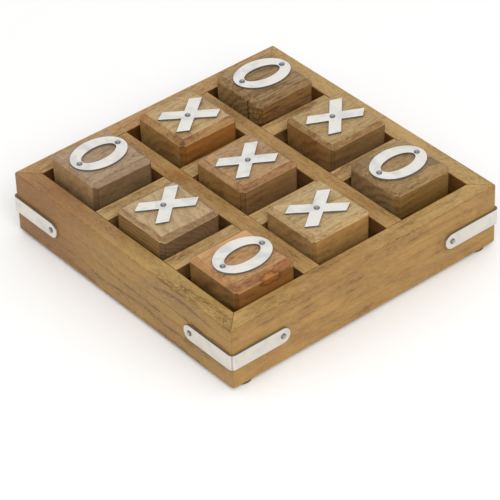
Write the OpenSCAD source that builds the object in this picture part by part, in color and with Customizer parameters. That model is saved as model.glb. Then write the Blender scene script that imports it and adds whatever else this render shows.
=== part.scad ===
// Wooden tic tac toe set: a square tray of nine pockets, with a loose block in each.
// Every block carries a sheet metal X or O, and metal straps wrap the tray's corners.
// +Z is up. The origin is at the centre of the set, on the surface that it stands on.

/* [Tray] */
// Outer width of the square tray
tray_w = 178; // [170:1:200]
// Thickness of each outer rail
rail_t = 11; // [9:0.5:13]
// Height of the wooden rails
rail_h = 36.5; // [33:0.5:42]
// Radius of the tray's four upright corners
corner_r = 1.5; // [0.5:0.5:3]
// Thickness of each divider strip
divider_t = 10.5; // [8:0.5:12]
// How far a divider's tenon runs into a rail
tenon_len = 5; // [3:0.5:7]

/* [Base panel] */
// Thickness of the base panel
panel_t = 6; // [4:0.5:8]
// Height of the panel's underside above the rails' bottom edge
panel_gap = 3.5; // [2:0.5:5]
// Depth of the groove in the rails that holds the panel's edge
groove_depth = 4; // [2:0.5:6]

/* [Feet] */
// Diameter of each felt foot
foot_d = 10; // [6:0.5:10]
// Thickness of each felt foot
foot_h = 2; // [1:0.5:4]
// Distance from the tray's front or back face to the middle of each foot
foot_in = 10; // [6:0.5:20]

/* [Blocks] */
// Width, depth and height of each wooden block
block_w = 38; // [35:0.5:41]
// Slope cut along the block's top edges
block_chamfer = 2.6; // [1:0.2:4]
// Slope cut along the block's upright and bottom edges
block_ease = 0.9; // [0.4:0.1:2]

/* [Letters] */
// Thickness of the sheet metal letters and straps
sheet_t = 1.2; // [0.8:0.1:2]
// Length of each stroke of the X, along its middle
stroke_len = 31; // [24:0.5:34]
// Width of each stroke of the X
stroke_w = 6.7; // [4:0.1:9]
// Lean of each stroke of the X from upright
stroke_lean = 37.5; // [30:0.5:45]
// Lean of each stroke's cut end from upright, the other way
cut_lean = 31.5; // [20:0.5:50]
// Height of the O
ring_len = 34; // [28:0.5:36]
// Width of the O
ring_wide = 24.6; // [20:0.2:30]
// Height of the hole in the O
hole_len = 22.2; // [16:0.2:23]
// Width of the hole in the O
hole_wide = 11; // [8:0.5:14]

/* [Corner straps] */
// Length of a strap's leg, from the tray's corner to its round end
strap_leg = 36.5; // [25:0.5:45]
// Width of the strap
strap_w = 9.2; // [7:0.2:12]
// Height of the strap's middle above the rails' bottom edge
strap_rise = 17; // [12:0.5:22]

/* [Nails] */
// Diameter of a nail's shank
nail_d = 1.6; // [1:0.1:2]
// Diameter of a nail's domed head
head_d = 3.4; // [2.4:0.2:4.4]
// Height of a nail's domed head
head_h = 0.8; // [0.5:0.1:1.2]
// Length of a letter's nail under its head
letter_nail_len = 12; // [8:1:20]
// Length of a strap's nail under its head
strap_nail_len = 9; // [6:0.5:9]

/* [Hidden] */
$fn = 64;
half_w = tray_w / 2;
pocket = (tray_w - 2 * rail_t - 2 * divider_t) / 3;
pitch = pocket + divider_t;
rim_z = foot_h + rail_h;
panel_z = foot_h + panel_gap;
floor_z = panel_z + panel_t;
divider_h = rim_z - floor_z;
strap_z = foot_h + strap_rise;
side_gap = 0.3;             // least air between a block and its pocket's walls
play = (pocket - block_w) / 2 - side_gap;
tenon_t = divider_t / 2;
tenon_share = 0.6;          // a tenon's height as a share of the divider's
tenon_h = divider_h * tenon_share;
ring_nail_in = 0.8;         // how far the O's nails lie inside the middle of its rim
ring_nail = (ring_len + hole_len) / 4 - ring_nail_in;   // from the O's centre to each nail
tip_len = 1.5 * nail_d;     // the nail's point
dome_steps = 5;             // flats in the nail's dome, from its edge to its crown
oval_steps = 72;            // flats round the O
past = 1;                   // how far a cutter runs past the face it cuts
front_right = 0;            // quarter turns from the front right corner
back_right = 1;
back_left = 2;
front_left = 3;

// Each cell: its name, column, row and letter, where its block lies in the pocket's free play
// (-1 to 1 in X and in Y), the letter's turn, its shift from the block's middle, and the
// shift of the X's nail from the crossing. The set is made by hand, so no two are alike.
cells = [
    ["front_left",    -1, -1, "o", [-0.35,  0.15],  4, [-1.7, -0.3], [ 0.0,  0.0]],
    ["front_centre",   0, -1, "x", [ 0.85, -0.85],  5, [-2.5,  1.5], [-0.8, -1.8]],
    ["front_right",    1, -1, "o", [ 0.90, -0.25],  3, [-0.3,  1.0], [ 0.0,  0.0]],
    ["middle_left",   -1,  0, "x", [ 0.00,  0.50],  1, [ 1.7,  0.0], [ 0.0, -1.2]],
    ["middle_centre",  0,  0, "x", [-0.95, -0.40],  4, [ 1.2, -1.0], [ 0.5,  0.2]],
    ["middle_right",   1,  0, "x", [-0.75, -0.55],  0, [ 1.0, -0.8], [-0.3, -0.4]],
    ["back_left",     -1,  1, "o", [ 0.10, -0.30], -4, [-2.4,  0.5], [ 0.0,  0.0]],
    ["back_centre",    0,  1, "x", [ 0.15,  0.40], 10, [-1.0,  0.6], [-1.0, -1.2]],
    ["back_right",     1,  1, "o", [-0.95, -0.30],  1, [ 0.0, -0.9], [ 0.0,  0.0]]
];
corners = [["front_right", front_right], ["back_right", back_right],
           ["back_left", back_left], ["front_left", front_left]];
rails = [["rail_front", 0], ["rail_right", 1], ["rail_back", 2], ["rail_left", 3]];

rail_wood = "#a9824f";
divider_wood = "#b7925c";
block_wood = "#b08d63";
panel_wood = "#5a3a20";
sheet_metal = "#e2e2dc";
nail_metal = "#8b8a86";
felt = "#4a4640";

// Shapes

// A nail whose head sits on z = 0 and whose point is down.
module nail(length) {
    head_r = head_d / 2;
    dome = [for (i = [0:dome_steps]) let (a = 90 * i / dome_steps)
        [head_r * cos(a), head_h * sin(a)]];
    rotate_extrude()
        polygon(concat([[0, -length], [nail_d / 2, tip_len - length], [nail_d / 2, 0]], dome));
}

module nail_hole(length) {
    translate([0, 0, -length]) cylinder(d = nail_d, h = length + past);
}

module rounded_square(width, radius) {
    straight = width - 2 * radius;
    square([width, straight], center = true);
    square([straight, width], center = true);
    for (x = [-1, 1], y = [-1, 1])
        translate([x, y] * straight / 2) circle(r = radius);
}

// An outline standing on the X axis, with its top and bottom corners cut on a slope.
module sloped_profile(width, height, top, bottom) {
    half = width / 2;
    polygon([[-half + bottom, 0], [half - bottom, 0], [half, bottom], [half, height - top],
             [half - top, height], [-half + top, height], [-half, height - top], [-half, bottom]]);
}

// Where the strap's nails go: both legs, seen from the front right corner.
module at_strap_nails() {
    along = half_w - (strap_leg - strap_w / 2);
    translate([along, -half_w - sheet_t, strap_z]) rotate([90, 0, 0]) children();
    translate([half_w + sheet_t, -along, strap_z]) rotate([0, 90, 0]) children();
}

// Tray

// The front rail, mitred at both ends; the others are this one, turned.
module rail(quarter_turns) {
    color(rail_wood) rotate([0, 0, 90 * quarter_turns]) difference() {
        intersection() {
            translate([0, 0, foot_h]) linear_extrude(rail_h)
                polygon([[-half_w, -half_w], [half_w, -half_w],
                         [half_w - rail_t, rail_t - half_w], [rail_t - half_w, rail_t - half_w]]);
            linear_extrude(rim_z + past) rounded_square(tray_w, corner_r);
        }
        panel_blank();
        for (x = [-1, 1]) translate([x * pitch / 2, rail_t - half_w, 0]) tenon(past);
        at_strap_nails() nail_hole(strap_nail_len);
        rotate([0, 0, -90]) at_strap_nails() nail_hole(strap_nail_len);
    }
}

// The tenon that a divider runs into the front rail, and a little back into the divider.
module tenon(back) {
    translate([-tenon_t / 2, -tenon_len, floor_z + (divider_h - tenon_h) / 2])
        cube([tenon_t, tenon_len + back, tenon_h]);
}

module panel_blank() {
    width = tray_w - 2 * rail_t + 2 * groove_depth;
    translate([-width / 2, -width / 2, panel_z]) cube([width, width, panel_t]);
}

module base_panel() {
    color(panel_wood) panel_blank();
}

// A divider along Y with a tenon at each end, halved where it crosses the other two.
// side is -1 or 1, and notch_z is the bottom of its notches.
module divider(side, notch_z) {
    length = tray_w - 2 * rail_t;
    difference() {
        translate([side * pitch / 2, 0, 0]) {
            translate([-divider_t / 2, -length / 2, floor_z]) cube([divider_t, length, divider_h]);
            for (end = [0, 180]) rotate([0, 0, end]) translate([0, -length / 2, 0]) tenon(past);
        }
        for (y = [-1, 1]) translate([side * pitch / 2, y * pitch / 2, notch_z])
            translate([-divider_t / 2 - past, -divider_t / 2, 0])
                cube([divider_t + 2 * past, divider_t, divider_h / 2 + past]);
    }
}

// The two dividers along Y are notched from above, and the two along X from below.
module divider_along_y(side) {
    color(divider_wood) divider(side, floor_z + divider_h / 2);
}

module divider_along_x(side) {
    color(divider_wood) rotate([0, 0, 90]) divider(side, floor_z - past);
}

// Corners

module strap_leg_flat() {
    straight = strap_leg - strap_w / 2 - corner_r;
    linear_extrude(sheet_t) {
        translate([0, -strap_w / 2]) square([straight, strap_w]);
        translate([straight, 0]) circle(d = strap_w);
    }
}

// The strap at the front right corner: two legs and the quarter bend between them.
module strap(quarter_turns) {
    bend_x = half_w - corner_r;
    color(sheet_metal) rotate([0, 0, 90 * quarter_turns]) difference() {
        union() {
            translate([bend_x, -half_w, strap_z]) rotate([90, 0, 0]) mirror([1, 0, 0])
                strap_leg_flat();
            translate([half_w, -bend_x, strap_z]) rotate([90, 0, 90]) strap_leg_flat();
            translate([bend_x, -bend_x, strap_z - strap_w / 2]) intersection() {
                difference() {
                    cylinder(r = corner_r + sheet_t, h = strap_w);
                    translate([0, 0, -past]) cylinder(r = corner_r, h = strap_w + 2 * past);
                }
                translate([0, -2 * half_w, 0]) cube([2 * half_w, 2 * half_w, strap_w]);
            }
        }
        at_strap_nails() nail_hole(strap_nail_len);
    }
}

module strap_nails(quarter_turns) {
    color(nail_metal) rotate([0, 0, 90 * quarter_turns]) at_strap_nails() nail(strap_nail_len);
}

// The feet sit under the left and right rails, a little in from their ends.
module foot(quarter_turns) {
    side = quarter_turns == front_right || quarter_turns == back_right ? 1 : -1;
    end = quarter_turns == back_right || quarter_turns == back_left ? 1 : -1;
    color(felt) translate([side * (half_w - rail_t / 2), end * (half_w - foot_in), 0])
        cylinder(d = foot_d, h = foot_h);
}

// Blocks

// Moves its children to the middle of the cell's block, on the tray's floor.
module at_block(cell) {
    translate([cell[1] * pitch + cell[4][0] * play, cell[2] * pitch + cell[4][1] * play, floor_z])
        children();
}

// Moves its children to the top of the cell's letter, with +Y up the letter.
module at_letter(cell) {
    at_block(cell) translate([cell[6][0], cell[6][1], block_w + sheet_t])
        rotate([0, 0, cell[5]]) children();
}

module at_letter_nails(cell) {
    at_letter(cell) {
        if (cell[3] == "x") translate([cell[7][0], cell[7][1], 0]) children();
        if (cell[3] == "o") for (y = [-1, 1]) translate([0, y * ring_nail, 0]) children();
    }
}

// A cube with every edge eased: more along the top, where it shows.
module block(cell) {
    color(block_wood) difference() {
        at_block(cell) intersection() {
            linear_extrude(block_w) rotate([0, 0, 90])
                translate([0, -block_w / 2]) sloped_profile(block_w, block_w, block_ease, block_ease);
            bar_seen_from(0);
            bar_seen_from(90);
        }
        at_letter_nails(cell) nail_hole(letter_nail_len);
    }
}

// The block's outline from one side, as a bar that runs right through it.
module bar_seen_from(turn) {
    rotate([90, 0, turn]) linear_extrude(block_w + 2 * past, center = true)
        sloped_profile(block_w, block_w, block_chamfer, block_ease);
}

// The X in one piece: two crossing strokes, each with its ends cut on a slope. The strokes'
// edges meet in a notch on each side, and the lower half is the upper half turned round.
module x_outline() {
    tip = [sin(stroke_lean), cos(stroke_lean)] * stroke_len / 2;
    cut = [-sin(cut_lean), cos(cut_lean)] * stroke_w / sin(stroke_lean + cut_lean) / 2;
    side_notch = [stroke_w / 2 / cos(stroke_lean), 0];
    top_notch = [0, stroke_w / 2 / sin(stroke_lean)];
    upper = concat([side_notch, tip - cut, tip + cut, top_notch],
                   [for (point = [tip + cut, tip - cut]) [-point[0], point[1]]]);
    polygon(concat(upper, [for (point = upper) -point]));
}

module oval(length, width) {
    polygon([for (i = [0:oval_steps - 1]) let (a = 360 * i / oval_steps)
        [width / 2 * cos(a), length / 2 * sin(a)]]);
}

module o_outline() {
    difference() {
        oval(ring_len, ring_wide);
        oval(hole_len, hole_wide);
    }
}

module letter(cell) {
    color(sheet_metal) difference() {
        at_letter(cell) translate([0, 0, -sheet_t]) linear_extrude(sheet_t) {
            if (cell[3] == "x") x_outline();
            if (cell[3] == "o") o_outline();
        }
        at_letter_nails(cell) nail_hole(letter_nail_len);
    }
}

module letter_nails(cell) {
    color(nail_metal) at_letter_nails(cell) nail(letter_nail_len);
}

for (item = rails) {
    rail(item[1]);
}
base_panel();
divider_along_x(-1);  // divider_front
divider_along_x(1);  // divider_back
divider_along_y(-1);  // divider_left
divider_along_y(1);  // divider_right
for (corner = corners) {
    strap(corner[1]);
    strap_nails(corner[1]);
    foot(corner[1]);
}
for (cell = cells) {
    block(cell);
    letter(cell);
    letter_nails(cell);
}
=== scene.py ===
import math
import random

import bmesh
import bpy
from mathutils import Matrix, Vector, noise


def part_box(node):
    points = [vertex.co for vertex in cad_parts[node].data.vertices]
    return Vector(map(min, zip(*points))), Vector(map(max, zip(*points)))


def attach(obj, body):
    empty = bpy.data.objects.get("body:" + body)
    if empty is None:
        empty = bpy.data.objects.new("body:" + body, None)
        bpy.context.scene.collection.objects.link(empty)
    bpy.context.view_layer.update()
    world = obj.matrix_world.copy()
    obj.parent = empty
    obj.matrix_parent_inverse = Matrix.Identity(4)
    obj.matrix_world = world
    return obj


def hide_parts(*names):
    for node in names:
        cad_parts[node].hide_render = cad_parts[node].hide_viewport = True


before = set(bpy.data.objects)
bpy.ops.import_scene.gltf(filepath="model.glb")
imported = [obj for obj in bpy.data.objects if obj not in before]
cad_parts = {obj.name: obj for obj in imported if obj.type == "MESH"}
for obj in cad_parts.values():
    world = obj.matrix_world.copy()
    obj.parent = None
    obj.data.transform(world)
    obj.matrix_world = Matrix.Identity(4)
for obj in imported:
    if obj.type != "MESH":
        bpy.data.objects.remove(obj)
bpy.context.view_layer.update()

mm = 0.001
rng = random.Random(7)  # every uneven edge comes from this one seed

railLow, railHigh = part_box("rail_front")
panelLow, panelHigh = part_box("base_panel")
halfTray = -railLow.y
halfInside = -railHigh.y  # from the middle to the rails' inner faces
rimTop = railHigh.z
cornerRound = (halfTray - railHigh.x) / (1 - math.cos(math.pi / 4))
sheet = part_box("strap_front_right")[1].x - halfTray  # how thick the sheet metal is
corners = ["front_right", "back_right", "back_left", "front_left"]  # each a quarter turn on


def spin(turns):
    return Matrix.Rotation(turns * math.pi / 2, 4, "Z")


# Shader wiring: an expression on Wires adds the Math nodes that work it out.


def plug(inlet, value):
    if isinstance(value, Wire):
        inlet.id_data.links.new(value.socket, inlet)
    elif inlet.type == "VECTOR" and not hasattr(value, "__len__"):
        inlet.default_value = (value, value, value)
    elif inlet.type == "RGBA":
        inlet.default_value = tuple(value)[:3] + (1,)
    else:
        inlet.default_value = value


class Wire:
    def __init__(self, socket):
        self.socket = socket

    def maths(self, operation, *others, first=None):
        values = [self, *others] if first is None else [first, self]
        node = self.socket.id_data.nodes.new("ShaderNodeMath")
        node.operation = operation
        for inlet, value in zip(node.inputs, values):
            plug(inlet, value)
        return Wire(node.outputs[0])

    def __add__(self, other):
        return self.maths("ADD", other)

    def __sub__(self, other):
        return self.maths("SUBTRACT", other)

    def __mul__(self, other):
        return self.maths("MULTIPLY", other)

    def __truediv__(self, other):
        return self.maths("DIVIDE", other)

    def __abs__(self):
        return self.maths("ABSOLUTE")

    def __rsub__(self, other):
        return self.maths("SUBTRACT", first=other)

    __radd__ = __add__
    __rmul__ = __mul__


class Finish:
    def __init__(self, name):
        self.material = bpy.data.materials.new(name)
        self.material.use_nodes = True
        self.tree = self.material.node_tree
        self.tree.nodes.clear()
        texture = self.node("ShaderNodeTexCoord")
        self.place = self.turned(texture["Object"], scale=1 / mm)  # millimetres
        self.facing = self.split(texture["Normal"])

    def node(self, kind, settings=None, **sockets):
        made = self.tree.nodes.new(kind)
        for key, value in (settings or {}).items():
            if key == "stops":
                ramp = made.color_ramp.elements
                while len(ramp) < len(value):
                    ramp.new(0.5)
                for element, (position, colour) in zip(ramp, value):
                    element.position = position
                    element.color = tuple(colour)[:3] + (1,)
            else:
                setattr(made, key, value)
        for key, value in sockets.items():  # n0, n1 and so on pick a socket by its number
            byNumber = key[0] == "n" and key[1:].isdigit()
            plug(made.inputs[int(key[1:]) if byNumber else key.replace("_", " ")], value)
        return {outlet.name: Wire(outlet) for outlet in made.outputs if outlet.enabled}

    def mix(self, first, second, share, blend="MIX"):
        settings = {"data_type": "RGBA", "blend_type": blend}
        return self.node("ShaderNodeMix", settings, n0=share, n6=first, n7=second)["Result"]

    def tinted(self, colour, tint, share=1):
        return self.mix(colour, tint, share, "MULTIPLY")

    def ease(self, value, low, high):
        settings = {"interpolation_type": "SMOOTHSTEP"}
        return self.node("ShaderNodeMapRange", settings, Value=value, From_Min=low, From_Max=high)["Result"]

    def turned(self, vector, shift=(0, 0, 0), turn=(0, 0, 0), scale=1):
        made = self.node("ShaderNodeMapping", Vector=vector, Location=shift, Rotation=turn, Scale=scale)
        return made["Vector"]

    def cloud(self, vector, grain, detail=2, roughness=0.5, warp=0):
        spread = [1 / g for g in grain] if hasattr(grain, "__len__") else 1 / grain
        made = self.node(
            "ShaderNodeTexNoise", Vector=self.turned(vector, scale=spread), Scale=1, Detail=detail,
            Roughness=roughness, Distortion=warp,
        )
        return made["Fac"]

    def distance(self, vector):
        return self.node("ShaderNodeVectorMath", {"operation": "LENGTH"}, Vector=vector)["Value"]

    def split(self, vector):
        made = self.node("ShaderNodeSeparateXYZ", Vector=vector)
        return made["X"], made["Y"], made["Z"]

    def joined(self, x, y, z):
        return self.node("ShaderNodeCombineXYZ", X=x, Y=y, Z=z)["Vector"]

    def ramp(self, value, stops):
        return self.node("ShaderNodeValToRGB", {"stops": stops}, Fac=value)["Color"]

    def relief(self, height, depth):
        return self.node("ShaderNodeBump", Height=height, Distance=depth, Strength=1)["Normal"]

    def done(self, **sockets):
        shader = self.node("ShaderNodeBsdfPrincipled", **sockets)
        self.node("ShaderNodeOutputMaterial", Surface=shader["BSDF"])
        return self.material


def linear(hexColour):
    values = [int(hexColour[i : i + 2], 16) / 255 for i in (1, 3, 5)]
    return [v / 12.92 if v <= 0.04045 else ((v + 0.055) / 1.055) ** 2.4 for v in values]


def scaled(colour, factors):
    return [c * f for c, f in zip(colour, factors)]


woodLook = {
    "hue": "#b29468",  # the timber's middle tone
    "deep": (0.56, 0.48, 0.38),  # its dark grain, as a share of the middle tone
    "pale": (1.22, 1.25, 1.28),  # its light grain
    "alongY": False,  # which way the grain runs
    "skew": (0, 0, 0),  # how the piece was sawn from the log, in degrees
    "pith": (40, 9, 55),  # where the log's middle lies, in millimetres
    "ringGap": 5.5,
    "ringShare": 0.30,
    "patch": 40,  # how far apart the strongly and the weakly ringed parts are
    "ringFrom": 0.0,  # how far out in each ring its dark part starts
    "sway": 7.0,  # how far the rings wander, and over what length
    "swayLength": 60,
    "streakShare": 0.34,
    "fibreShare": 0.30,
    "mottleShare": 0.22,
    "blotchShare": 0.30,
    "blotch": 26,
    "side": (1, 1, 1),  # what end grain does to upright faces, together with painted shade for the pockets and for faces lit less
    "sideXWithShade": None,  # the same for sides that face left or right, with their own painted shade
    "top": (1, 1, 1),  # what level faces do to it: painted light, paler tops
    "cornerShadeLine": 0.0,  # how dark the painted shade lines along the upright corners' facets are
    "facetShade": 0.0,  # and the painted shade on the facets themselves
    "slope": (1, 1, 1),  # painted shade on the sloped edges
    "slopeX": None,  # the same painted shade for slopes that face left or right, where they differ
    "creaseShade": (1, 1, 1),  # and the painted shade line between a slope and the top
    "brinkHighlight": 0.0,  # how strong the painted highlight along the slope's lower edge is
    "pocketShadeOnly": False,  # the side tints, painted pocket shade, are kept to the faces that look into the pockets
    "wear": 0.0,  # how pale the edges are rubbed
    "calm": 0.0,  # how much quieter the upright faces are
    "poreDark": 0.8,
    "poreTint": (0.55, 0.46, 0.38),
    "fleckShare": 0.4,
    "fleckFrom": 0.58,  # a lower value makes more flecks
    "cornerShadeTint": (0.52, 0.45, 0.38),
    "gloss": 0.52,
    "marks": [],  # knots, patches and painted shade spots: middle, radius, colour, strength
    "rimTint": (0.45, 0.33, 0.22),  # the dark line round a knot
    "crack": None,
    "crackTint": (0.22, 0.17, 0.13),
}


def woodFinish(name, changes, low, high):
    look = {**woodLook, **changes}
    f = Finish(name)
    middle = (low + high) / 2 / mm
    half = (high - low) / 2 / mm
    local = f.turned(f.place, shift=tuple(-middle))
    lay = math.radians(-90 if look["alongY"] else 0)
    skew = [math.radians(a) for a in look["skew"]]
    log = f.turned(f.turned(local, turn=(0, 0, lay)), shift=look["pith"], turn=skew)
    across, deep = f.split(log)[1:]
    swayGrain = (look["swayLength"], 22, 22)
    swayOne = f.cloud(log, swayGrain, 2, 0.45) - 0.5
    swayTwo = f.cloud(f.turned(log, shift=(130, 70, 40)), swayGrain, 2, 0.45) - 0.5
    reach = 2 * look["sway"]
    radius = f.distance(f.joined(0, across + swayOne * reach, deep + swayTwo * reach))
    ring = (radius / look["ringGap"] + f.cloud(log, (40, 6, 6), 2)).maths("FRACT")
    ring = f.ease(ring, look["ringFrom"], look["ringFrom"] * 0.45 + 0.62) * (1 - f.ease(ring, 0.90, 1.0))
    ring = ring * (f.ease(f.cloud(local, look["patch"], 1), 0.42, 0.58) * 0.7 + 0.3)
    streak = f.ease(f.cloud(log, (12, 1.4, 1.4), 3, 0.6), 0.34, 0.66)
    fibre = f.ease(f.cloud(log, (3.6, 0.55, 0.55), 2, 0.6), 0.36, 0.64)
    mottle = f.ease(f.cloud(log, (2.6, 1.5, 1.5), 2, 0.6), 0.36, 0.64)
    blotchGrain = [look["blotch"] * b for b in (1.8, 0.7, 0.7)]
    blotch = f.ease(f.cloud(log, blotchGrain, 3, 0.6, 0.5), 0.34, 0.66)
    level = abs(f.facing[2])
    upright = 1 - f.ease(level, 0.12, 0.55)
    calm = 1 - upright * look["calm"]
    tone = (
        0.5
        + (0.5 - ring) * look["ringShare"]
        + (streak - 0.5) * look["streakShare"] * calm
        + (blotch - 0.5) * look["blotchShare"]
        + (fibre - 0.5) * look["fibreShare"] * calm
        + (mottle - 0.5) * look["mottleShare"] * calm
    )
    hue = linear(look["hue"])
    deepHue, paleHue = scaled(hue, look["deep"]), scaled(hue, look["pale"])
    dimHue = scaled(hue, (0.90, 0.88, 0.84))
    colour = f.ramp(tone, [(0.08, deepHue), (0.40, dimHue), (0.60, hue), (0.95, paleHue)])
    pores = f.ease(f.cloud(log, (3.2, 0.5, 0.5), 1, 0.5), 0.58, 0.72)
    pores = pores * f.ease(f.cloud(log, (12, 4, 4), 1), 0.36, 0.60) * calm
    colour = f.tinted(colour, look["poreTint"], pores * look["poreDark"])
    flecks = f.cloud(f.turned(log, shift=(31, 17, 53)), (3.0, 0.65, 0.65), 1, 0.5)
    flecks = f.ease(flecks, look["fleckFrom"], look["fleckFrom"] + 0.13)
    colour = f.mix(colour, scaled(paleHue, (1.1, 1.1, 1.15)), flecks * calm * look["fleckShare"])
    for mark in look["marks"]:
        gap = f.turned(local, shift=[-m for m in mark["at"]])
        wobble = (f.cloud(gap, mark["radius"] * 0.5, 3, 0.6) - 0.5) * mark["radius"]
        gap = f.turned(gap, scale=[1 / s for s in mark.get("stretch", (1, 1, 1))])
        far = f.distance(gap) + wobble
        inside = 1 - f.ease(far / mark["radius"], mark.get("core", 0.5), 1.0)
        blend = "MULTIPLY" if mark.get("tint") else "MIX"
        colour = f.mix(colour, linear(mark["hue"]), inside * mark["share"], blend)
        if mark.get("rim"):
            edge = inside * (1 - inside) * 4
            colour = f.tinted(colour, look["rimTint"], edge * mark["rim"])
    x, y, z = f.split(local)
    shares = [abs(x) / half.x, abs(y) / half.y, abs(z) / half.z]
    largest = shares[0].maths("MAXIMUM", shares[1]).maths("MAXIMUM", shares[2])
    smallest = shares[0].maths("MINIMUM", shares[1]).maths("MINIMUM", shares[2])
    second = shares[0] + shares[1] + shares[2] - largest - smallest
    rubbed = f.ease(second + (f.cloud(local, 5, 2) - 0.5) * 0.10, 0.84, 0.97)
    colour = f.mix(colour, paleHue, rubbed * look["wear"])
    if look["pocketShadeOnly"]:  # painted shade only on the faces that look into the pockets
        placeX, placeY = f.split(f.place)[:2]
        reach = abs(placeX).maths("MAXIMUM", abs(placeY))
        upright = upright * (1 - f.ease(reach, halfInside / mm + 1, halfInside / mm + 2))
    # painted shade, partly end grain's own colour: upright faces take the side tints, those facing left or
    # right their own
    towardsX = f.ease(abs(f.facing[0]), 0.3, 0.7)
    colour = f.tinted(colour, f.mix(look["side"], look["sideXWithShade"] or look["side"], towardsX), upright)
    # painted light: level faces take the top tint
    colour = f.tinted(colour, look["top"], f.ease(level, 0.93, 0.985))
    lean = abs(f.facing[0]).maths("MINIMUM", abs(f.facing[1]))  # most on the upright corners' facets
    # painted shade: dark lines along the edges of the upright corners' facets, and darker facets
    onSide = 1 - f.ease(level, 0.12, 0.3)
    facetShadeMask = f.ease(lean, 0.45, 0.62)
    line = f.ease(lean, 0.05, 0.20) * (1 - facetShadeMask)
    cornerShadeShare = (line * look["cornerShadeLine"] + facetShadeMask * look["facetShade"]) * onSide
    colour = f.tinted(colour, look["cornerShadeTint"], cornerShadeShare)
    # painted shade on the slopes, with its own tint for slopes that face left or right
    slope = f.ease(level, 0.45, 0.62) * (1 - f.ease(level, 0.74, 0.90))
    slopeTint = f.mix(look["slope"], look["slopeX"] or look["slope"], f.ease(abs(f.facing[0]), 0.2, 0.5))
    colour = f.tinted(colour, slopeTint, slope)
    # painted shade line between slope and top, broken up by noise
    creaseShade = f.ease(level, 0.74, 0.82) * (1 - f.ease(level, 0.93, 0.985))
    lineBreakup = f.ease(f.cloud(local, (5, 5, 2.5), 3, 0.6), 0.38, 0.58)
    colour = f.tinted(colour, look["creaseShade"], creaseShade * (lineBreakup * 0.7 + 0.3))
    # painted highlight along the slope's lower edge
    brinkHighlight = f.ease(level, 0.12, 0.30) * (1 - f.ease(level, 0.45, 0.62))
    colour = f.mix(colour, scaled(paleHue, look["slope"]), brinkHighlight * (1 - lineBreakup) * look["brinkHighlight"])
    if look["crack"]:
        wander = (f.cloud(local, (40, 40, 3), 3, 0.6) - 0.5) * 2.2
        far = abs(x - look["crack"]["x"] + wander)
        dark = (1 - f.ease(far, 0.12, look["crack"]["width"])) * f.ease(0 - f.facing[1], 0.5, 0.9)
        dark = dark * f.ease(z, look["crack"]["from"], look["crack"]["from"] + 5)
        colour = f.tinted(colour, look["crackTint"], dark)
    height = fibre * 0.35 - pores * 0.9 - ring * 0.12 + f.cloud(local, 9, 2) * 0.8
    rough = look["gloss"] + (0.5 - fibre) * 0.16 + pores * 0.16 + (blotch - 0.5) * 0.12
    return f.done(
        Base_Color=colour, Roughness=rough, Normal=f.relief(height, 0.16 * mm), Specular_IOR_Level=0.38
    )


# dull is the grey of painted reflections on the sheet, and of its brushing and scuffs
sheetLook = {
    "bright": (0.91, 0.88, 0.83), "dullAndReflection": (0.60, 0.62, 0.63), "cut": (0.07, 0.07, 0.065), "gloss": 0.34,
}
strapSheetLook = {"bright": (0.71, 0.67, 0.60), "dullAndReflection": (0.54, 0.54, 0.52), "cut": (0.12, 0.10, 0.08)}


def sheetFinish(name, brushAlong, isLetter, changes):
    look = {**sheetLook, **changes}
    f = Finish(name)
    grain = [0.25, 0.25, 0.25]
    grain[brushAlong] = 14
    brush = f.cloud(f.place, grain, 2, 0.6)
    patch = f.cloud(f.place, 9, 2, 0.5, 0.6)
    scuff = f.ease(f.cloud(f.turned(f.place, turn=(0, 0, 0.7)), (9, 0.3, 9), 1), 0.66, 0.80)
    # painted reflection: soft grey patches, with brushing and scuffs, mix the sheet towards dull
    share = f.ease(patch, 0.42, 0.72) * 0.55 + (brush - 0.5) * 0.30 + scuff * 0.25
    colour = f.mix(look["bright"], look["dullAndReflection"], share)
    level = abs(f.facing[2])
    cut = 1 - f.ease(level, 0.45, 0.85) if isLetter else f.ease(level, 0.25, 0.7)
    colour = f.mix(colour, look["cut"], cut * 0.9)
    if not isLetter:  # painted shade: a dark line down the middle of the bend, where the strap was folded round the corner
        x, y = f.split(f.place)[:2]
        creaseShade = 1 - f.ease(abs(abs(x) - abs(y)), 0.25, 0.9)
        colour = f.mix(colour, look["cut"], creaseShade * 0.45)
    rough = look["gloss"] + (patch - 0.5) * 0.18 + (brush - 0.5) * 0.14 + cut * 0.2
    return f.done(
        Base_Color=colour, Roughness=rough, Metallic=0.9 - cut * 0.5,
        Normal=f.relief(brush * 0.3 + patch * 0.9, 0.05 * mm),
    )


# crown is a painted highlight on the dome's top and shade the painted dark reflection round its foot; head is
# the darker steel between
nailLook = {
    "crown": (0.40, 0.41, 0.42), "head": (0.19, 0.195, 0.20), "shade": (0.05, 0.05, 0.05), "gloss": 0.28,
}


def nailFinish(name, seat, upright):
    f = Finish(name)
    x, y, z = f.split(f.place)
    rise = (z if upright else abs(x).maths("MAXIMUM", abs(y))) - seat / mm  # above the sheet metal
    # painted dark reflection round the dome's foot, with grime spots adding a little more
    ring = 1 - f.ease(rise, 0.10, 0.40)
    grime = f.cloud(f.place, 0.7, 2, 0.6)
    # painted highlight on the dome's top
    colour = f.mix(nailLook["head"], nailLook["crown"], f.ease(rise, 0.50, 0.68))
    colour = f.mix(colour, nailLook["shade"], ring * 0.9 + f.ease(grime, 0.5, 0.8) * 0.3)
    return f.done(
        Base_Color=colour, Roughness=nailLook["gloss"] + (grime - 0.5) * 0.3, Metallic=0.9,
        Normal=f.relief(grime, 0.06 * mm),
    )


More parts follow.
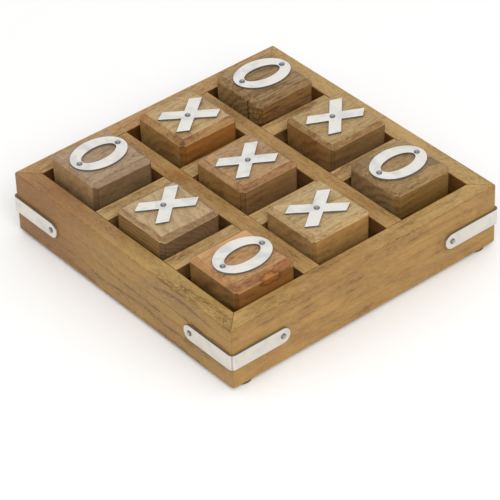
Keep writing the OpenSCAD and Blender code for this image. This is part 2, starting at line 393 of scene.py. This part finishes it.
def feltFinish():
    f = Finish("felt")
    wool = f.cloud(f.place, 0.5, 3, 0.7)
    tuft = f.cloud(f.place, 2.4, 2)
    colour = f.ramp(wool * 0.6 + tuft * 0.4, [(0.3, linear("#4a3826")), (0.7, linear("#8a7052"))])
    return f.done(Base_Color=colour, Roughness=0.9 + (wool - 0.5) * 0.1, Normal=f.relief(wool, 0.3 * mm))


def floorFinish():
    f = Finish("floorPaint")
    speck = f.cloud(f.place, 40, 3)
    colour = f.mix((0.97, 0.97, 0.97), (0.95, 0.95, 0.95), speck)
    return f.done(Base_Color=colour, Roughness=0.75 + (speck - 0.5) * 0.1, Normal=f.relief(speck, 0.05 * mm))


# Shaping: prisms cut by planes, with eased and slightly wavering edges.


def prism(outline, depth, toWorld=Matrix.Identity(4)):
    mesh = bmesh.new()
    face = mesh.faces.new([mesh.verts.new((x, y, 0)) for x, y in outline])
    grown = bmesh.ops.extrude_face_region(mesh, geom=[face])["geom"]
    lid = [g for g in grown if isinstance(g, bmesh.types.BMVert)]
    bmesh.ops.translate(mesh, vec=(0, 0, depth), verts=lid)
    mesh.transform(toWorld)
    bmesh.ops.recalc_face_normals(mesh, faces=mesh.faces)
    return mesh


def solidBox(low, high):
    outline = [(low.x, low.y), (high.x, low.y), (high.x, high.y), (low.x, high.y)]
    return prism(outline, high.z - low.z, Matrix.Translation((0, 0, low.z)))


def everything(mesh):
    return mesh.verts[:] + mesh.edges[:] + mesh.faces[:]


def cutAcross(mesh, point, normal, merge):
    bmesh.ops.bisect_plane(mesh, geom=everything(mesh), plane_co=point, plane_no=normal, dist=merge)


def cutAway(mesh, point, normal):
    made = bmesh.ops.bisect_plane(
        mesh, geom=everything(mesh), plane_co=point, plane_no=normal, clear_outer=True, dist=1e-7
    )
    rim = [g for g in made["geom_cut"] if isinstance(g, bmesh.types.BMEdge)]
    if rim:
        bmesh.ops.edgenet_fill(mesh, edges=rim)
        bmesh.ops.recalc_face_normals(mesh, faces=mesh.faces)


def easeEdges(mesh, width, steps=3, where=None, sharperThan=12):
    sharp = math.radians(sharperThan)
    picked = [
        e for e in mesh.edges
        if len(e.link_faces) == 2 and e.calc_face_angle(0) > sharp and (where is None or where(e))
    ]
    bmesh.ops.bevel(
        mesh, geom=picked, offset=width, segments=steps, profile=0.5, affect="EDGES", clamp_overlap=True
    )


def liesAt(edge, axis, value):
    return all(abs(v.co[axis] - value) < 1e-6 for v in edge.verts)


def sliced(mesh, axis, step):
    values = [v.co[axis] for v in mesh.verts]
    low, high = min(values), max(values)
    count = max(2, round((high - low) / step))
    normal = Vector([1 if i == axis else 0 for i in range(3)])
    for i in range(1, count):
        cutAcross(mesh, normal * (low + (high - low) * i / count), normal, 1e-6)


def waver(mesh, amount, grain, seed):
    middles, halves = [], []  # the push grows towards the piece's ends, and is always inwards
    for axis in range(3):
        values = [v.co[axis] for v in mesh.verts]
        middles.append((min(values) + max(values)) / 2)
        halves.append((max(values) - min(values)) / 2)
    for v in mesh.verts:
        here = Vector([v.co[i] / grain[i] for i in range(3)]) + Vector((seed * 3.1, seed * 1.7, seed))
        push = noise.noise_vector(here)
        for axis in range(3):
            gap = (v.co[axis] - middles[axis]) / halves[axis]
            v.co[axis] -= math.copysign(amount * (0.5 + 0.5 * push[axis]) * abs(gap) ** 4, gap)


def settle(mesh, name, body, nodes, material, smoothUnder=40):
    bmesh.ops.remove_doubles(mesh, verts=mesh.verts, dist=1e-6)
    bmesh.ops.dissolve_degenerate(mesh, edges=mesh.edges, dist=1e-6)
    bmesh.ops.recalc_face_normals(mesh, faces=mesh.faces)
    data = bpy.data.meshes.new(name)
    mesh.to_mesh(data)
    mesh.free()
    for face in data.polygons:
        face.use_smooth = True
    data.set_sharp_from_angle(angle=math.radians(smoothUnder))
    data.materials.append(material)
    piece = bpy.data.objects.new(name, data)
    bpy.context.scene.collection.objects.link(piece)
    piece.modifiers.new("evenNormals", "WEIGHTED_NORMAL").keep_sharp = True
    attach(piece, body)
    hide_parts(*nodes)
    return piece


railLook = {
    "outerEase": 1.0 * mm, "innerEase": 0.5 * mm, "seam": 0.05 * mm, "slice": 5 * mm, "waver": 0.22 * mm,
    "roundFlats": (52, 68, 84),  # degrees round the upright corner
}
# each rail's side tint is painted shade on its faces inside the pockets, and the top tint is painted light
# making the tops paler
railWood = {
    "pocketShadeOnly": True, "side": (0.42, 0.29, 0.18), "wear": 0.15, "sway": 3.5, "swayLength": 90,
    "ringGap": 4.4, "ringFrom": 0.45, "ringShare": 0.26, "streakShare": 0.16, "fibreShare": 0.16,
    "mottleShare": 0.10, "blotchShare": 0.40, "blotch": 24, "poreDark": 0.5, "fleckShare": 0.85,
    "fleckFrom": 0.51, "top": (1.22, 1.36, 1.66), "calm": 0.35,
}
railWoods = {
    "rail_front": {
        "hue": "#93703a", "pith": (20, 22, 40), "sway": 5, "swayLength": 60, "ringShare": 0.50,
        "ringGap": 6.5, "streakShare": 0.24, "blotchShare": 0.5, "blotch": 17,
        "marks": [
            # a broad tint that darkens the rail's left end
            {"at": (-85, 0, 0), "radius": 95, "hue": "#d6bcc7", "tint": True, "core": 0.1, "share": 0.8},
            {"at": (-30, 0, 18), "radius": 12, "stretch": (5, 1, 1), "hue": "#e8dce4", "tint": True,
             "core": 0.1, "share": 1},
        ],
    },
    "rail_right": {
        "hue": "#9b763f", "pith": (-30, 60, 70), "alongY": True, "ringShare": 0.22, "fleckShare": 0.5,
        "streakShare": 0.24, "fibreShare": 0.16, "blotchShare": 0.46, "blotch": 13, "poreDark": 0.3,
        "marks": [
            {"at": (0, -15, 18), "radius": 12, "stretch": (1, 5, 1), "hue": "#eadfdc", "tint": True,
             "core": 0.1, "share": 1},
        ],
    },
    "rail_back": {"hue": "#9b7742", "pith": (80, 44, 40), "side": (0.55, 0.42, 0.30)},
    "rail_left": {"hue": "#976f3e", "pith": (-60, 50, -52), "alongY": True},
}


def makeRail(turns, name):
    half, inner = halfTray, halfInside
    tongue = -panelLow.y
    outline = [
        (-half, railLow.z), (-inner, railLow.z), (-inner, panelLow.z), (-tongue, panelLow.z),
        (-tongue, panelHigh.z), (-inner, panelHigh.z), (-inner, rimTop), (-half, rimTop),
    ]
    # the outline is the rail's section, and runs along X
    stand = Matrix(((0, 0, 1, -half), (1, 0, 0, 0), (0, 1, 0, 0), (0, 0, 0, 1)))
    mesh = prism(outline, 2 * half, stand)
    for side in (-1, 1):
        cutAway(mesh, Vector((side * (half - railLook["seam"]), -half, 0)), Vector((side, 1, 0)).normalized())
        for degrees in railLook["roundFlats"]:
            out = Vector((side * math.cos(math.radians(degrees)), -math.sin(math.radians(degrees)), 0))
            centre = Vector((side * (half - cornerRound), cornerRound - half, 0))
            cutAway(mesh, centre + out * cornerRound, out)

    easeEdges(mesh, railLook["outerEase"], 4, lambda e: liesAt(e, 2, rimTop) and onOuterFace(e))
    easeEdges(mesh, railLook["innerEase"], 3, lambda e: liesAt(e, 2, rimTop) and liesAt(e, 1, -inner))
    easeEdges(mesh, railLook["innerEase"], 2, lambda e: liesAt(e, 2, railLow.z) and onOuterFace(e))
    sliced(mesh, 0, railLook["slice"])
    waver(mesh, railLook["waver"], (24 * mm, 30 * mm, 30 * mm), turns + 1)
    mesh.transform(spin(turns))
    low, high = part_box(name)
    return settle(mesh, name + "_wood", "tray", [name],
                  woodFinish(name, {**railWood, **railWoods[name]}, low, high))


def onOuterFace(edge):
    # the outer face and the corner's flats look to the front, and the mitres look away from it
    return any(abs(f.normal.z) < 0.1 and f.normal.y < -0.6 for f in edge.link_faces)


dividerLook = {"ease": 0.55 * mm, "slice": 5 * mm, "waver": 0.16 * mm}
# the side tint is painted shade on the dividers' upright faces, the pockets' walls
dividerWood = {
    "calm": 0.4, "side": (0.50, 0.40, 0.30), "wear": 0.35, "fleckFrom": 0.54, "blotchShare": 0.5,
    "blotch": 16, "sway": 3, "ringFrom": 0.3, "streakShare": 0.28, "fibreShare": 0.24, "mottleShare": 0.2,
    "fleckShare": 0.6,
}
lapMark = {"at": (-28, 0, 14), "radius": 15, "hue": "#f2dcb0", "tint": True, "core": 0.1, "share": 1}
dividerWoods = {
    "divider_front": {"hue": "#a07c49", "pith": (10, 40, 33), "marks": [lapMark]},
    "divider_back": {"hue": "#a07c49", "pith": (-50, 42, 38)},
    "divider_left": {"hue": "#ad8d5c", "pith": (25, 38, -44), "alongY": True},
    "divider_right": {"hue": "#ad8d5c", "pith": (-15, 52, 36), "alongY": True},
}


def makeDivider(name):
    low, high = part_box(name)
    isAlongX = high.x - low.x > high.y - low.y
    along, across = (0, 1) if isAlongX else (1, 0)
    thick = high[across] - low[across]
    middle = (low[across] + high[across]) / 2
    crossing = ("divider_left", "divider_right") if isAlongX else ("divider_front", "divider_back")
    lines = [sum(c[along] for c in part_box(n)) / 2 for n in crossing]
    lapZ = (low.z + high.z) / 2
    openZ = low.z if isAlongX else high.z  # the dividers along X are notched from below
    notches = []
    for line in lines:
        left, right = line - thick / 2, line + thick / 2
        notches += [(left, openZ), (left, lapZ), (right, lapZ), (right, openZ)]
    bottom, top = (notches, []) if isAlongX else ([], notches)
    outline = [
        (-halfInside, low.z), *bottom, (halfInside, low.z),
        (halfInside, high.z), *reversed(top), (-halfInside, high.z),
    ]
    if isAlongX:
        stand = Matrix(((1, 0, 0, 0), (0, 0, -1, middle + thick / 2), (0, 1, 0, 0), (0, 0, 0, 1)))
    else:
        stand = Matrix(((0, 0, 1, middle - thick / 2), (1, 0, 0, 0), (0, 1, 0, 0), (0, 0, 0, 1)))
    mesh = prism(outline, thick, stand)
    easeEdges(mesh, dividerLook["ease"], 3, lambda e: liesAt(e, 2, high.z))
    sliced(mesh, along, dividerLook["slice"])
    waver(mesh, dividerLook["waver"], (22 * mm,) * 3, lines[0] * 300 + middle * 90)
    material = woodFinish(name, {**dividerWood, **dividerWoods[name]}, low, high)
    return settle(mesh, name + "_wood", "tray", [name], material)


panelLook = {"ease": 0.4 * mm, "slice": 8 * mm, "waver": 0.1 * mm}
# the panel's dark hue is painted shade for the pockets' floors
panelShadeWood = {"hue": "#6d3f1f", "pith": (0, 70, 90), "gloss": 0.7, "ringGap": 8}


def makePanel():
    mesh = solidBox(panelLow, panelHigh)
    easeEdges(mesh, panelLook["ease"], 2)
    for axis in (0, 1):
        sliced(mesh, axis, panelLook["slice"])
    waver(mesh, panelLook["waver"], (30 * mm,) * 3, 4)
    material = woodFinish("base_panel", panelShadeWood, panelLow, panelHigh)
    return settle(mesh, "base_panel_wood", "tray", ["base_panel"], material)


footLook = {"ease": 0.5 * mm, "around": 40, "uneven": 0.02}


def makeFoot(name, material):
    low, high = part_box("foot_" + name)
    middle, radius = (low + high) / 2, (high.x - low.x) / 2
    outline = []
    for i in range(footLook["around"]):
        a = 2 * math.pi * i / footLook["around"]
        r = radius * (1 - footLook["uneven"] * (1 + math.sin(3 * a + low.x * 900)))
        outline.append((middle.x + r * math.cos(a), middle.y + r * math.sin(a)))
    mesh = prism(outline, high.z - low.z, Matrix.Translation((0, 0, low.z)))
    easeEdges(mesh, footLook["ease"], 3, sharperThan=60)
    return settle(mesh, "foot_" + name + "_felt", "tray", ["foot_" + name], material)


strapLook = {"edgeEase": 0.22 * mm, "bendSteps": 8, "legSteps": 6, "endSteps": 20, "dent": 0.10 * mm}


def makeStrap(turns, name, material):
    low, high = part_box("strap_front_right")
    width, middleZ = high.z - low.z, (low.z + high.z) / 2
    leg = halfTray - low.x - cornerRound  # the straight part, out to the tip of the round end
    arc = cornerRound * math.pi / 2
    endSteps, bendSteps, legSteps = (strapLook[k] for k in ("endSteps", "bendSteps", "legSteps"))
    outline = []
    for side in (1, -1):
        for i in range(endSteps + 1):
            a = side * math.pi / 2 - math.pi * i / endSteps * side
            out = side * (leg + arc / 2 - width / 2 + width / 2 * math.cos(a))
            outline.append((out, width / 2 * math.sin(a)))
    mesh = prism(outline, sheet)
    easeEdges(mesh, strapLook["edgeEase"], 3, sharperThan=60)
    cuts = [arc * (i / bendSteps - 0.5) for i in range(bendSteps + 1)]
    cuts += [side * (arc / 2 + leg * i / legSteps) for side in (-1, 1) for i in range(1, legSteps)]
    for cut in cuts:
        cutAcross(mesh, (cut, 0, 0), (1, 0, 0), 1e-7)
    for v in mesh.verts:
        s, t, h = v.co
        dent = strapLook["dent"] * noise.noise(Vector((s * 160, t * 220, turns))) if h > sheet / 2 else 0
        h += min(0, dent)
        if s > arc / 2:
            place = Vector((halfTray + h, cornerRound - halfTray + s - arc / 2, middleZ + t))
        elif s < -arc / 2:
            place = Vector((halfTray - cornerRound + s + arc / 2, -halfTray - h, middleZ + t))
        else:
            a = s / cornerRound - math.pi / 4
            centre = Vector((halfTray - cornerRound, cornerRound - halfTray, middleZ + t))
            place = centre + Vector((math.cos(a), math.sin(a), 0)) * (cornerRound + h)
        v.co = place
    mesh.transform(spin(turns))
    node = "strap_" + name
    return settle(mesh, node + "_sheet", "tray", [node], material)


nailShape = {
    "dome": 7, "around": 28, "flange": 0.16 * mm, "shank": 0.8 * mm, "length": 7 * mm, "point": 2 * mm,
    "domeShare": 0.96,  # the dome's width at the flange, as a share of the flange's
    "strapHead": 0.93, "strapRise": 0.86, "strapLean": 3,  # shares of the room there is, and degrees
    "letterHead": 1.55 * mm, "letterRise": 0.88, "letterLean": 4,
}


def nailMesh(mesh, toWorld, headRadius, headHeight):
    flange, shank, tip = nailShape["flange"], nailShape["shank"], -nailShape["length"]
    profile = [(0, tip), (shank, tip + nailShape["point"]), (shank, 0), (headRadius, 0), (headRadius, flange)]
    domeRadius = headRadius * nailShape["domeShare"]
    for i in range(1, nailShape["dome"] + 1):
        a = math.pi / 2 * i / nailShape["dome"]
        profile.append((domeRadius * math.cos(a), flange + (headHeight - flange) * math.sin(a)))
    around = nailShape["around"]
    rings = []
    for r, z in profile:
        if r < 1e-7:
            rings.append([mesh.verts.new(toWorld @ Vector((0, 0, z)))])
            continue
        turns = [2 * math.pi * i / around for i in range(around)]
        rings.append([mesh.verts.new(toWorld @ Vector((r * math.cos(a), r * math.sin(a), z))) for a in turns])
    for lower, upper in zip(rings, rings[1:]):
        for i in range(around):
            j = (i + 1) % around
            if len(lower) == 1:
                mesh.faces.new((lower[0], upper[j], upper[i]))
            elif len(upper) == 1:
                mesh.faces.new((lower[i], lower[j], upper[0]))
            else:
                mesh.faces.new((lower[i], lower[j], upper[j], upper[i]))


def leaning(degrees):
    turnX, turnY = (math.radians(rng.uniform(-degrees, degrees)) for _ in range(2))
    return Matrix.Rotation(turnX, 4, "X") @ Matrix.Rotation(turnY, 4, "Y")


def makeStrapNails(turns, name, material):
    low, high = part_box("strap_nails_front_right")
    room, middleZ = (high.z - low.z) / 2, (low.z + high.z) / 2
    face = halfTray + sheet
    headRadius, headHeight = room * nailShape["strapHead"], (high.x - face) * nailShape["strapRise"]
    along = low.x + room
    mesh = bmesh.new()
    outOfFront = Matrix.Translation((along, -face, middleZ)) @ Matrix.Rotation(math.pi / 2, 4, "X")
    outOfRight = Matrix.Translation((face, -along, middleZ)) @ Matrix.Rotation(math.pi / 2, 4, "Y")
    for place in (outOfFront, outOfRight):
        nailMesh(mesh, place @ leaning(nailShape["strapLean"]), headRadius, headHeight)
    mesh.transform(spin(turns))
    node = "strap_nails_" + name
    return settle(mesh, node + "_steel", "tray", [node], material)


# Each slope is (how far in, how far down) in millimetres, in the order of outward. turn is the
# letter's turn in degrees, and nail is how far the X's nail lies from the crossing, in millimetres.
blockLook = {
    "soft": 0.55, "upright": 2.6, "crisp": 0.35, "foot": 0.9, "waver": 0.25, "slice": 2.4,
    "slopeTurn": 1.3, "cornerLean": 0.01, "cornerSpread": (0.8, 1.1),  # how uneven the cuts are
}
# each block's side and slope tints are painted shade set face by face; the side tints also carry the end
# grain's darker colour
blocks = {
    "front_left": {
        "letter": "o", "turn": 4, "slot": "block_wood_brown",
        "slopes": ((1.7, 1.8), (3.1, 2.8), (2.6, 2.2), (2.4, 2.2)),
        "wood": {
            "hue": "#a0876c", "side": (0.98, 0.86, 0.6), "sideXWithShade": (0.56, 0.5, 0.36), "pith": (12, 36, 50),
            "blotch": 9, "ringShare": 0.15, "streakShare": 0.2, "fibreShare": 0.22, "mottleShare": 0.34,
            "slope": (0.92, 0.88, 0.82), "slopeX": (0.8, 0.76, 0.7),
        },
    },
    "front_centre": {
        "letter": "x", "turn": 5, "nail": (-0.8, -1.8), "slot": "block_wood_pale",
        "slopes": ((2.4, 1.8), (2.9, 2.3), (2.4, 1.8), (2.6, 1.8)),
        "wood": {
            "hue": "#a88e69", "side": (0.47, 0.37, 0.2), "sideXWithShade": (0.37, 0.3, 0.27), "pith": (8, 26, 40),
            "alongY": False, "skew": (0, 0, 14), "sway": 6, "swayLength": 30, "ringGap": 2.4,
            "ringShare": 0.78, "patch": 400, "streakShare": 0.14, "fibreShare": 0.16, "mottleShare": 0.1,
            "slope": (0.84, 0.76, 0.66), "slopeX": (0.62, 0.53, 0.43),
        },
    },
    "front_right": {
        "letter": "o", "turn": 3, "soft": 1.1, "slot": "block_wood_red",
        "slopes": ((3.3, 2.7), (4.0, 3.2), (2.8, 2.2), (2.8, 2.2)),
        "wood": {
            "hue": "#af8659", "side": (0.44, 0.4, 0.23), "sideXWithShade": (0.43, 0.3, 0.09), "pith": (4, 22, 28),
            "blotchShare": 0.6, "streakShare": 0.22, "poreDark": 0.4, "slope": (0.94, 0.86, 0.75),
            "slopeX": (0.82, 0.68, 0.52),
            "marks": [
                {"at": (18, 3, 15), "radius": 4.5, "stretch": (1, 1.8, 0.8), "hue": "#bd8338",
                 "share": 0.75, "rim": 0.9},
                {"at": (17, 12, 17), "radius": 3.5, "stretch": (1, 2.4, 0.6), "hue": "#9a6236",
                 "share": 0.5, "rim": 0.6},
                {"at": (-12, 8, 19), "radius": 9, "stretch": (1, 1.4, 1), "hue": "#d3a06c", "share": 0.6},
            ],
        },
    },
    "middle_left": {
        "letter": "x", "turn": 1, "nail": (0, -1.2), "soft": 0.45, "slot": "block_wood_red",
        "slopes": ((3.1, 2.8), (3.3, 2.8), (2.8, 2.2), (2.8, 2.4)),
        "wood": {
            "hue": "#af9266", "side": (0.73, 0.59, 0.38), "sideXWithShade": (0.7, 0.42, 0.17), "pith": (2, 16, 22),
            "ringShare": 0.4, "slope": (0.86, 0.68, 0.5),
            "marks": [
                {"at": (13, -13, 17), "radius": 6, "hue": "#a9773f", "share": 0.55, "rim": 0.4},
                # painted shade: a dark spot standing in for the shade of the notch at the front corner
                {"at": (17.3, -17.3, 17.5), "radius": 2.8, "hue": "#4f2f16", "share": 0.8, "core": 0.2},
                {"at": (-17, -17, 17.5), "radius": 4.5, "hue": "#a9602c", "share": 0.55, "core": 0.2},
            ],
        },
    },
    "middle_centre": {
        "letter": "x", "turn": 4, "nail": (0.5, 0.2), "slot": "block_wood_tan",
        "slopes": ((2.9, 2.5), (3.1, 2.6), (2.6, 2.3), (2.6, 2.3)),
        "wood": {
            "hue": "#a5835c", "side": (0.8, 0.73, 0.47), "sideXWithShade": (0.67, 0.6, 0.46), "pith": (20, 24, 44),
            "blotch": 16, "slope": (0.94, 0.86, 0.76), "slopeX": (0.84, 0.7, 0.58),
        },
    },
    "middle_right": {
        "letter": "x", "turn": 0, "nail": (-0.3, -0.4), "soft": 1.2, "slot": "block_wood_pale",
        "slopes": ((2.8, 2.4), (2.9, 2.5), (2.4, 2.2), (2.4, 2.2)),
        "wood": {
            "hue": "#af9469", "side": (0.81, 0.69, 0.55), "sideXWithShade": (0.77, 0.59, 0.35), "pith": (30, 30, 36),
            "streakShare": 0.36, "blotch": 8, "cornerShadeLine": 0.5, "slope": (0.96, 0.91, 0.84),
        },
    },
    "back_left": {
        "letter": "o", "turn": -4, "slot": "block_wood_brown",
        "slopes": ((2.9, 2.6), (3.3, 2.7), (2.6, 2.3), (2.6, 2.3)),
        "wood": {
            "hue": "#91764e", "side": (0.92, 0.86, 0.73), "sideXWithShade": (0.83, 0.67, 0.51), "pith": (14, 26, 24),
            "ringGap": 3.2, "ringShare": 0.5, "calm": 0.0, "streakShare": 0.8, "slope": (0.92, 0.85, 0.76),
            "crack": {"x": 8.7, "width": 0.95, "from": 0},
        },
    },
    "back_centre": {
        "letter": "x", "turn": 10, "nail": (-1.0, -1.2), "soft": 0.9, "slot": "block_wood_tan",
        "slopes": ((2.5, 1.8), (2.8, 2.0), (2.2, 1.8), (2.2, 1.8)),
        "wood": {
            "hue": "#a5895c", "side": (0.72, 0.54, 0.39), "sideXWithShade": (0.55, 0.46, 0.38), "pith": (18, 34, 40),
            "blotch": 20, "slope": (0.86, 0.74, 0.6),
        },
    },
    "back_right": {
        "letter": "o", "turn": 1, "soft": 2.3, "upright": 3.4, "slot": "block_wood_brown",
        "slopes": ((3.6, 2.9), (3.6, 2.9), (2.9, 2.8), (3.3, 2.8)),
        "wood": {
            "hue": "#977b52", "side": (0.85, 0.83, 0.82), "sideXWithShade": (0.66, 0.53, 0.28), "pith": (16, 20, 28),
            "ringGap": 4, "ringShare": 0.4, "cornerShadeLine": 0.2, "facetShade": 0.25,
            "slope": (0.96, 0.92, 0.86), "creaseShade": (0.92, 0.87, 0.8),
            "marks": [
                {"at": (-17, -12, 16), "radius": 13, "hue": "#cfcac4", "tint": True, "share": 0.8},
                {"at": (10, 14, 19), "radius": 5, "hue": "#7d5f3a", "share": 0.6, "rim": 0.5},
            ],
        },
    },
}
# the slope, crease and corner tints are painted shade and the slope's lower edge a painted highlight
blockWood = {
    "alongY": True, "calm": 0.4, "wear": 0.12, "slope": (0.88, 0.80, 0.71), "creaseShade": (0.66, 0.55, 0.44),
    "brinkHighlight": 0.5, "cornerShadeLine": 0.9, "facetShade": 0.5, "fleckShare": 0.4, "sway": 4, "ringFrom": 0.2,
}
outward = [Vector(v) for v in ((0, -1, 0), (1, 0, 0), (0, 1, 0), (-1, 0, 0))]


def isUpright(edge):
    a, b = (v.co for v in edge.verts)
    return abs(a.z - b.z) > 0.9 * (a - b).length


def isAbove(edge, level):
    return max(v.co.z for v in edge.verts) > level


def makeBlock(cell, look):
    low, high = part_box("block_" + cell)
    middle, half = (low + high) / 2, (high.x - low.x) / 2
    mesh = solidBox(low, high)
    for out, (inward, drop) in zip(outward, look["slopes"]):
        normal = out * drop + Vector((0, 0, inward))
        edge = Vector((middle.x, middle.y, high.z)) + out * (half - inward * mm)
        tilt = Matrix.Rotation(math.radians(rng.uniform(-1, 1) * blockLook["slopeTurn"]), 3, "Z")
        cutAway(mesh, edge, (tilt @ normal).normalized())
    for degrees in (45, 135, 225, 315):
        a, lean = math.radians(degrees), rng.uniform(-1, 1) * blockLook["cornerLean"]
        out = Vector((math.cos(a), math.sin(a), lean)).normalized()
        width = look.get("upright", blockLook["upright"]) * mm * rng.uniform(*blockLook["cornerSpread"])
        cutAway(mesh, middle + out * (half * math.sqrt(2) - width / 2), out)
    soft = look.get("soft", blockLook["soft"]) * mm
    easeEdges(mesh, blockLook["foot"] * mm, 2, lambda e: liesAt(e, 2, low.z))
    easeEdges(mesh, blockLook["crisp"] * mm, 2, isUpright)
    easeEdges(mesh, soft, 3, lambda e: not isUpright(e) and isAbove(e, middle.z))
    for axis in range(3):
        sliced(mesh, axis, blockLook["slice"] * mm)
    waver(mesh, blockLook["waver"] * mm, (9 * mm,) * 3, low.x * 100 + low.y * 37)
    node = "block_" + cell
    material = woodFinish(node, {**blockWood, **look["wood"]}, low, high)
    return settle(mesh, node + "_wood", "piece_" + cell, [node], material, 50)


letterLook = {
    "strokeLength": 31.0, "strokeWidth": 6.7, "strokeLean": 37.5, "cutLean": 31.5,
    "ringLength": 34.0, "ringWide": 24.6, "holeLength": 22.2, "holeWide": 11.0, "ringSteps": 72,
    "edgeEase": 0.22, "ringInset": 0.8,  # how far the O's nails lie inside the middle of its rim
}


def crossOutline():
    look = letterLook
    lean, cut = math.radians(look["strokeLean"]), math.radians(look["cutLean"])
    tip = Vector((math.sin(lean), math.cos(lean))) * (look["strokeLength"] / 2)
    end = Vector((-math.sin(cut), math.cos(cut))) * (look["strokeWidth"] / math.sin(lean + cut) / 2)
    notchX = look["strokeWidth"] / 2 / math.cos(lean)
    notchY = look["strokeWidth"] / 2 / math.sin(lean)
    quarter = [Vector((notchX, 0)), tip - end, tip + end, Vector((0, notchY))]
    upper = quarter + [Vector((-p.x, p.y)) for p in reversed(quarter[1:3])]
    return [(p.x * mm, p.y * mm) for p in upper + [-p for p in upper]]


def oval(length, wide):
    steps = letterLook["ringSteps"]
    turns = [2 * math.pi * i / steps for i in range(steps)]
    return [(wide / 2 * math.cos(a) * mm, length / 2 * math.sin(a) * mm) for a in turns]


def ringMesh():
    mesh = bmesh.new()
    loops = []
    for z in (0, sheet):
        for length, wide in (("ringLength", "ringWide"), ("holeLength", "holeWide")):
            outline = oval(letterLook[length], letterLook[wide])
            loops.append([mesh.verts.new((x, y, z)) for x, y in outline])
    lowOut, lowIn, topOut, topIn = loops
    steps = letterLook["ringSteps"]
    for i in range(steps):
        j = (i + 1) % steps
        for a, b in ((lowOut, topOut), (topOut, topIn), (topIn, lowIn), (lowIn, lowOut)):
            mesh.faces.new((a[i], a[j], b[j], b[i]))
    bmesh.ops.recalc_face_normals(mesh, faces=mesh.faces)
    return mesh


def letterFrame(cell, look):
    low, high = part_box("letter_" + cell)
    place = Vector(((low.x + high.x) / 2, (low.y + high.y) / 2, low.z))
    return Matrix.Translation(place) @ Matrix.Rotation(math.radians(look["turn"]), 4, "Z")


def makeLetter(cell, look, material):
    mesh = prism(crossOutline(), sheet) if look["letter"] == "x" else ringMesh()
    easeEdges(mesh, letterLook["edgeEase"] * mm, 3, sharperThan=60)
    mesh.transform(letterFrame(cell, look))
    node = "letter_" + cell
    return settle(mesh, node + "_sheet", "piece_" + cell, [node], material, 50)


def makeLetterNails(cell, look, material):
    low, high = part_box("letter_nails_" + cell)
    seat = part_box("letter_" + cell)[1].z
    headHeight = (high.z - seat) * nailShape["letterRise"]
    toLetter = letterFrame(cell, look)
    if look["letter"] == "x":
        spots = [Vector((look["nail"][0] * mm, look["nail"][1] * mm, sheet))]
    else:
        rimMiddle = (letterLook["ringLength"] + letterLook["holeLength"]) / 4
        reach = (rimMiddle - letterLook["ringInset"]) * mm
        spots = [Vector((0, side * reach, sheet)) for side in (-1, 1)]
    mesh = bmesh.new()
    for spot in spots:
        place = toLetter @ Matrix.Translation(spot) @ leaning(nailShape["letterLean"])
        nailMesh(mesh, place, nailShape["letterHead"], headHeight)
    node = "letter_nails_" + cell
    return settle(mesh, node + "_steel", "piece_" + cell, [node], material)


for turns, name in enumerate(("rail_front", "rail_right", "rail_back", "rail_left")):
    makeRail(turns, name)
for name in ("divider_front", "divider_back", "divider_left", "divider_right"):
    makeDivider(name)
makePanel()
print("tray made")

strapSheet = sheetFinish("strapSheet", 2, False, strapSheetLook)
strapSteel = nailFinish("strapNails", halfTray + sheet, False)
felt = feltFinish()
for turns, name in enumerate(corners):
    makeStrap(turns, name, strapSheet)
    makeStrapNails(turns, name, strapSteel)
    makeFoot(name, felt)
print("corners made")

letterSheet = sheetFinish("letterSheet", 1, True, {})
letterSteel = nailFinish("letterNails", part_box("letter_front_left")[1].z, True)
for cell, look in blocks.items():
    makeBlock(cell, look)
    makeLetter(cell, look, letterSheet)
    makeLetterNails(cell, look, letterSteel)
print("blocks and letters made")

stageLook = {"floor": 8.0, "sky": 0.86, "key": 9.0, "keySize": 0.8, "keyAt": (0.95, -0.5, 1.05)}


def makeFloor():
    half = stageLook["floor"] / 2
    data = bpy.data.meshes.new("floor")
    spots = [(-half, -half, 0), (half, -half, 0), (half, half, 0), (-half, half, 0)]
    data.from_pydata(spots, [], [(0, 1, 2, 3)])
    data.materials.append(floorFinish())
    floor = bpy.data.objects.new("floor", data)
    bpy.context.scene.collection.objects.link(floor)


def makeLight():
    world = bpy.data.worlds.new("studio")
    world.use_nodes = True
    sky = world.node_tree.nodes["Background"]
    sky.inputs["Color"].default_value = (1.0, 1.0, 0.99, 1)
    sky.inputs["Strength"].default_value = stageLook["sky"]
    bpy.context.scene.world = world
    lamp = bpy.data.lights.new("key", "AREA")
    lamp.energy = stageLook["key"]
    lamp.size = stageLook["keySize"]
    key = bpy.data.objects.new("key", lamp)
    key.location = stageLook["keyAt"]
    key.rotation_mode = "QUATERNION"
    key.rotation_quaternion = (-Vector(stageLook["keyAt"])).to_track_quat("-Z", "Y")
    bpy.context.scene.collection.objects.link(key)


cameraLook = {
    "azimuth": 51.40, "elevation": 37.59, "roll": -2.29, "distance": 1.3915, "lens": 199.9,
    "aim": (0.04554, -0.04040, 0.0385),
}


def makeCamera():
    a, e, roll = (math.radians(cameraLook[k]) for k in ("azimuth", "elevation", "roll"))
    back = Vector((math.sin(a) * math.cos(e), -math.cos(a) * math.cos(e), math.sin(e)))
    right = (-back).cross(Vector((0, 0, 1))).normalized()
    up = right.cross(-back)
    right, up = right * math.cos(roll) + up * math.sin(roll), up * math.cos(roll) - right * math.sin(roll)
    data = bpy.data.cameras.new("camera")
    data.lens = cameraLook["lens"]
    data.clip_start, data.clip_end = 0.05, 20
    camera = bpy.data.objects.new("camera", data)
    place = Matrix((right, up, back)).transposed().to_4x4()
    place.translation = Vector(cameraLook["aim"]) + back * cameraLook["distance"]
    camera.matrix_world = place
    bpy.context.scene.collection.objects.link(camera)
    bpy.context.scene.camera = camera


makeFloor()
makeLight()
makeCamera()
bpy.context.scene.view_settings.view_transform = "Standard"
print("stage made")
